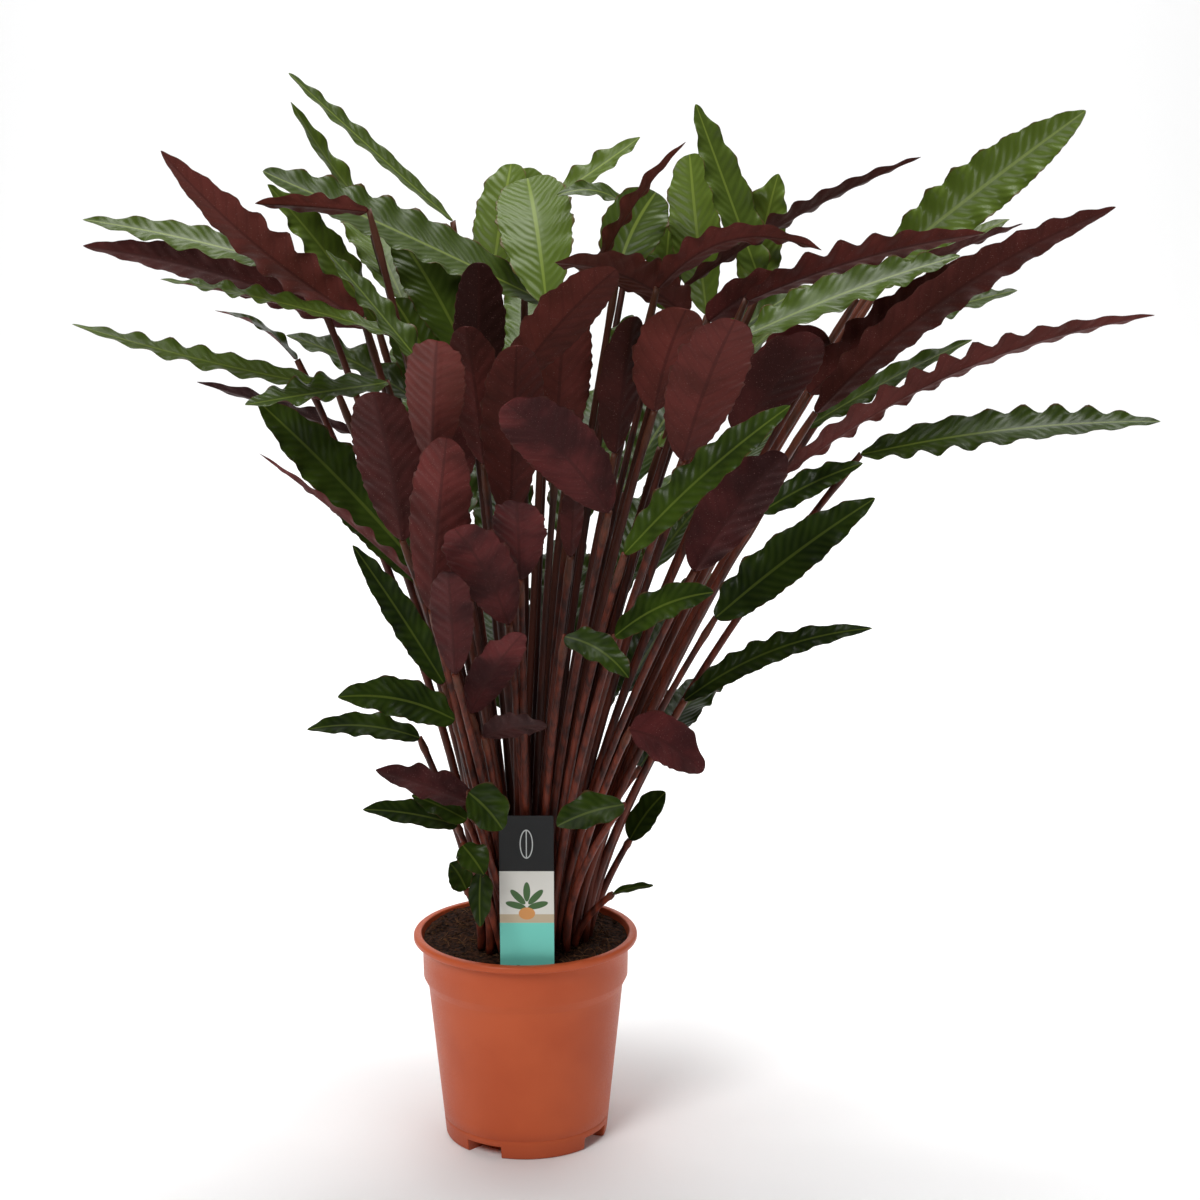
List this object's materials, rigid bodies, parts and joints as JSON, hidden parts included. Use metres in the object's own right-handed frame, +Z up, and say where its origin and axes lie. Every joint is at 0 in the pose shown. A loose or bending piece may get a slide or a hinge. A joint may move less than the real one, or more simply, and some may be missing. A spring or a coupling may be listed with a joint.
{
  "type": "potted plant",
  "caption": "Tall potted prayer plant: a dense fan of long waved leaves, green above and wine-red below, on upright stalks in a round grower's pot with a care tag.",
  "frame": {"origin": "middle of the flat underside of the pot, on the surface it rests on", "axes": "+Z up, -Y towards the front, where the care tag stands, +X to the right seen from the front"},
  "size_m": [0.9382, 0.6914, 0.9871],
  "materials": {
    "pot_plastic": "satin",
    "peat": "matte",
    "tag_plastic": "satin",
    "leaf_green": "satin",
    "leaf_wine": "matte"
  },
  "bodies": {
    "root": {"pot": "pot_plastic", "soil": "peat", "care_tag": "tag_plastic", "shoot_01": "leaf_wine", "shoot_02": "leaf_green", "shoot_03": "leaf_green", "shoot_04": "leaf_green", "shoot_05": "leaf_green", "shoot_06": "leaf_green", "shoot_07": "leaf_green", "shoot_08": "leaf_green", "shoot_09": "leaf_green", "shoot_10": "leaf_green", "shoot_11": "leaf_green", "shoot_12": "leaf_green", "shoot_13": "leaf_green", "shoot_14": "leaf_wine", "shoot_15": "leaf_green", "shoot_16": "leaf_green", "shoot_17": "leaf_wine", "shoot_18": "leaf_green", "shoot_19": "leaf_green", "shoot_20": "leaf_green", "shoot_21": "leaf_green", "shoot_22": "leaf_green", "shoot_23": "leaf_green", "shoot_24": "leaf_green", "shoot_25": "leaf_green", "shoot_26": "leaf_green", "shoot_27": "leaf_wine", "shoot_28": "leaf_wine", "shoot_29": "leaf_green", "shoot_30": "leaf_green", "shoot_31": "leaf_green", "shoot_32": "leaf_green", "shoot_33": "leaf_green", "shoot_34": "leaf_green", "shoot_35": "leaf_green", "shoot_36": "leaf_wine", "shoot_37": "leaf_wine", "shoot_38": "leaf_green", "shoot_39": "leaf_wine", "shoot_40": "leaf_green", "shoot_41": "leaf_green", "shoot_42": "leaf_wine", "shoot_43": "leaf_wine", "shoot_44": "leaf_green", "shoot_45": "leaf_green", "shoot_46": "leaf_green", "shoot_47": "leaf_green", "shoot_48": "leaf_green", "shoot_49": "leaf_green"}
  },
  "joints": []
}
